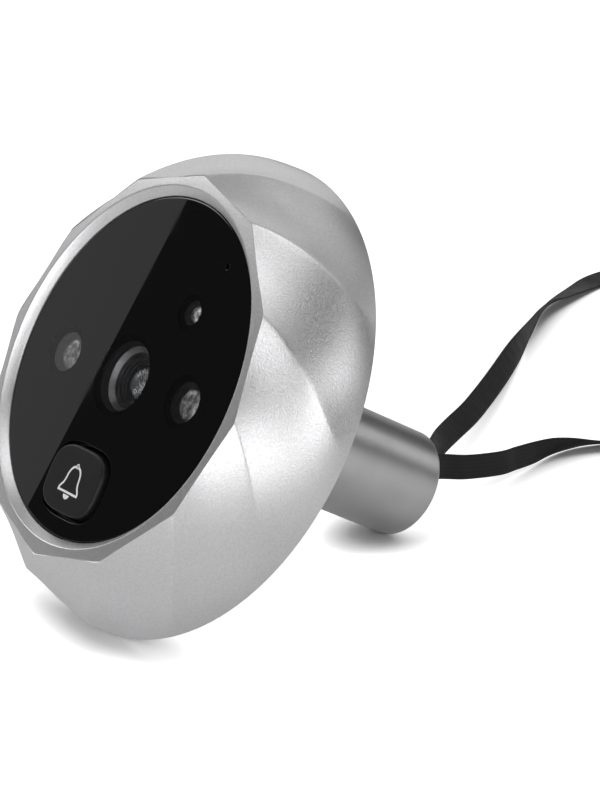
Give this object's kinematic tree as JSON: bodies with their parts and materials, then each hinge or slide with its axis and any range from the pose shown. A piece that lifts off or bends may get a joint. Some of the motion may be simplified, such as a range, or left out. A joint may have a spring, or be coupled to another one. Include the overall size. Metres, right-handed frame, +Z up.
{
  "type": "peephole door camera",
  "caption": "Round swirl-faceted metal door camera with a black window, lens, infrared lamps and bell button, on a barrel that goes through the door, with flat ribbon leads.",
  "frame": {"origin": "on the table under the middle of the unit's box, without its ribbons; the unit lies on its rim and on the end of its barrel", "axes": "+X to the right seen from the front, along the rim's longest extent; +Y towards the back, where the barrel points; +Z up from the table"},
  "size_m": [0.0927, 0.1613, 0.0525],
  "materials": {
    "satin_metal": "satin silver, fine metallic grain",
    "clear_window": "clear, gloss",
    "black_print": "black print",
    "black_tape": "adhesive foam tape",
    "black_plastic": "moulded, fine grain",
    "screw_steel": "plated",
    "lens_glass": "coated",
    "sensor_glass": "gloss",
    "lamp_plastic": "dark clear resin",
    "clear_plastic": "clear resin",
    "capsule_metal": "pressed can",
    "button_plastic": "satin black",
    "ivory_plastic": "moulded",
    "board_laminate": "solder mask",
    "chip_plastic": "moulded",
    "foam": "closed-cell foam",
    "barrel_metal": "satin grey",
    "ribbon_film": "flexible film, satin"
  },
  "bodies": {
    "unit": {"bezel": "satin_metal", "front_window": "clear_window", "window_mask": "black_print", "window_tape": "black_tape", "chassis": "black_plastic", "chassis_screws": "screw_steel", "lens_barrel": "black_plastic", "lens_glass": "lens_glass", "lens_holder": "black_plastic", "image_sensor": "sensor_glass", "lamp_left": "lamp_plastic", "lamp_right": "lamp_plastic", "light_sensor": "clear_plastic", "microphone": "capsule_metal", "key_switch": "black_plastic", "main_board": "board_laminate", "board_chips": "chip_plastic", "ribbon_sockets": "ivory_plastic", "board_screws": "screw_steel", "rear_cover": "black_plastic", "cover_screws": "screw_steel", "door_gasket": "foam", "barrel": "barrel_metal", "barrel_screws": "screw_steel", "ribbon_lead_left": "ribbon_film", "ribbon_lead_right": "ribbon_film", "ribbon_left": "ribbon_film", "ribbon_right": "ribbon_film", "connector_left": "ivory_plastic", "connector_right": "ivory_plastic"},
    "button": {"bell_button": "button_plastic"},
    "plunger": {"switch_plunger": "ivory_plastic"}
  },
  "joints": [
    {"name": "button_press", "type": "slide", "parent": "unit", "child": "button", "axis": [0, 0.8427, -0.5384], "range_m": [0, 0.0005], "stiffness_N_per_m": 1500, "springref_m": -0.0004},
    {"name": "plunger_press", "type": "slide", "parent": "unit", "child": "plunger", "axis": [0, 0.8427, -0.5384], "range_m": [0, 0.0005]}
  ],
  "couplings": [
    {"joint": "plunger_press", "follows": "button_press", "ratio": 1}
  ]
}
